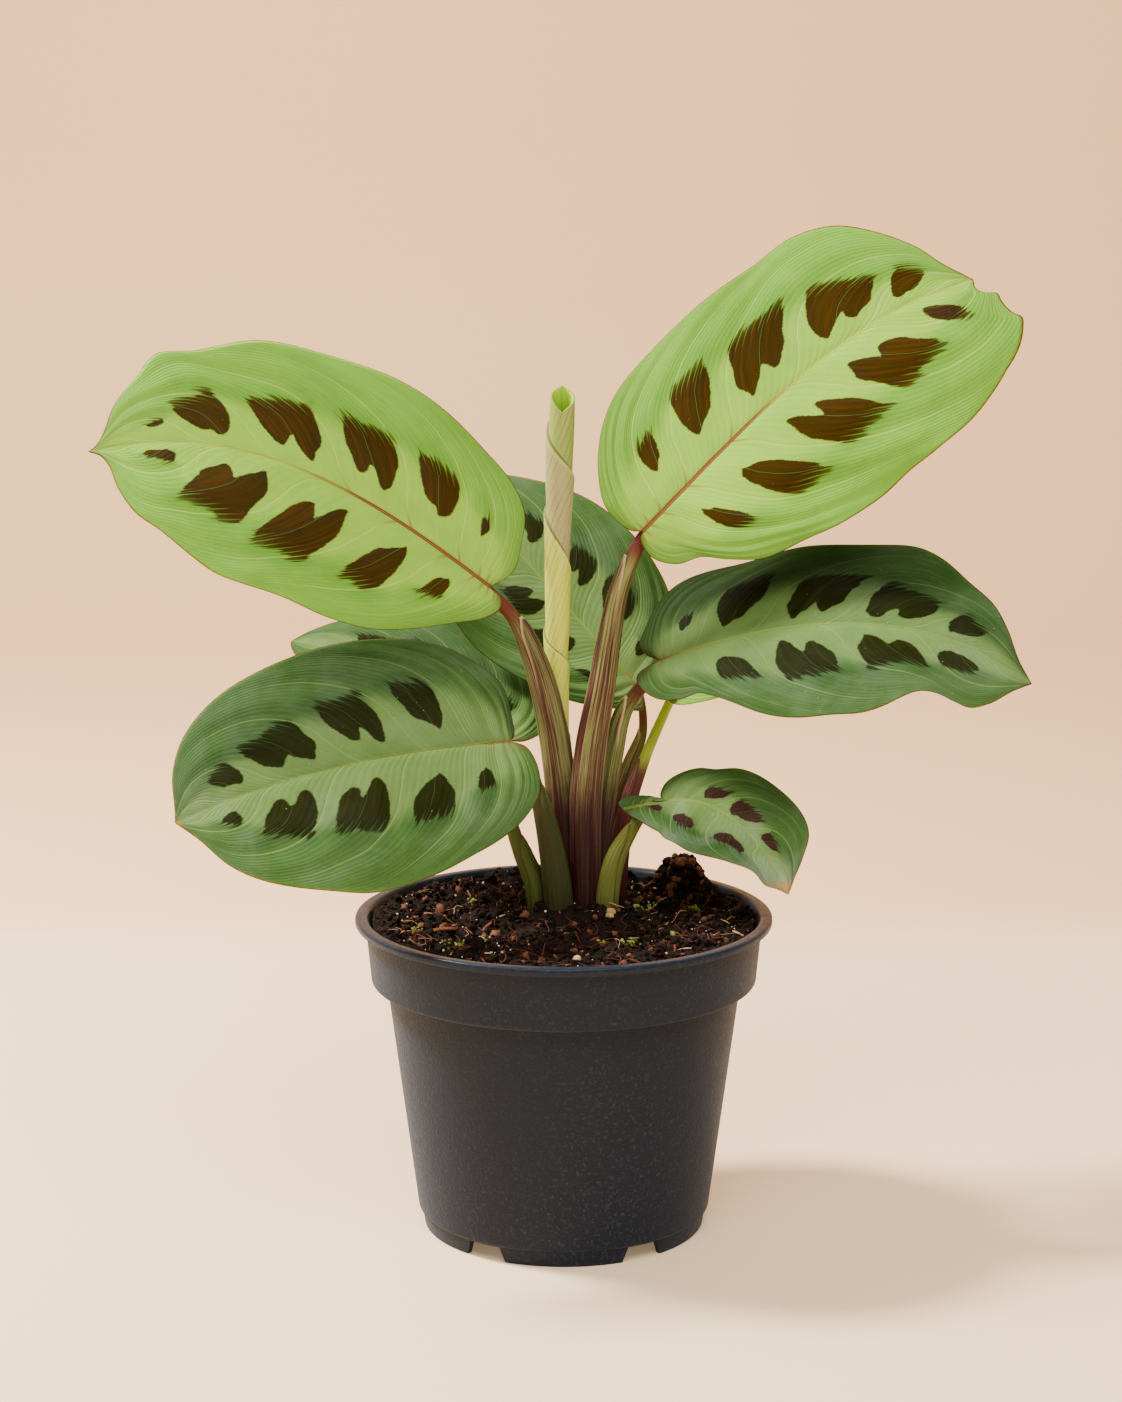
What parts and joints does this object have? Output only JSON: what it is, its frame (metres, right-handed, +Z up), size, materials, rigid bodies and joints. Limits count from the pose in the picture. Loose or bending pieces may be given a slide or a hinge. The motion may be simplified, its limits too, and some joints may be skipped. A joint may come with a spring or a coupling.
{
  "type": "potted prayer plant",
  "caption": "Prayer plant with blotched oval leaves on maroon stalks and a young leaf still rolled, rooted in peat soil in a round nursery pot with a wide band under its rim",
  "frame": {"origin": "on the pot's axis, level with the surface that the pot stands on; it is also the middle of the bottom of the whole plant's box", "axes": "+Z up along the pot's axis; +X to the right and +Y to the back as the picture looks at the plant, whose leaves spread to both sides along X"},
  "size_m": [0.2604, 0.12, 0.2861],
  "materials": {
    "pot_plastic": "fine moulded grain, glossier lip",
    "peat_soil": "rough, moist, crumbly",
    "rootstock_skin": "matte",
    "bright_leaf": "satin, veined, brown blotches",
    "deep_leaf": "satin, veined, near-black blotches",
    "rolled_leaf": "satin",
    "maroon_stalk": "satin, lengthwise stripes",
    "olive_stalk": "satin, lengthwise stripes",
    "lime_stalk": "satin"
  },
  "bodies": {
    "root": {"pot": "pot_plastic", "soil": "peat_soil", "rootstock": "rootstock_skin", "blade_upper_left": "bright_leaf", "stalk_upper_left": "maroon_stalk", "blade_upper_right": "bright_leaf", "stalk_upper_right": "maroon_stalk", "blade_middle_right": "deep_leaf", "stalk_middle_right": "maroon_stalk", "blade_lower_left": "deep_leaf", "stalk_lower_left": "olive_stalk", "blade_small_lower_right": "deep_leaf", "stalk_small_lower_right": "olive_stalk", "blade_back_centre": "deep_leaf", "stalk_back_centre": "olive_stalk", "blade_back_left": "deep_leaf", "stalk_back_left": "olive_stalk", "blade_back_right": "bright_leaf", "stalk_back_right": "lime_stalk", "blade_rolled": "rolled_leaf", "stalk_rolled": "lime_stalk"}
  },
  "joints": []
}
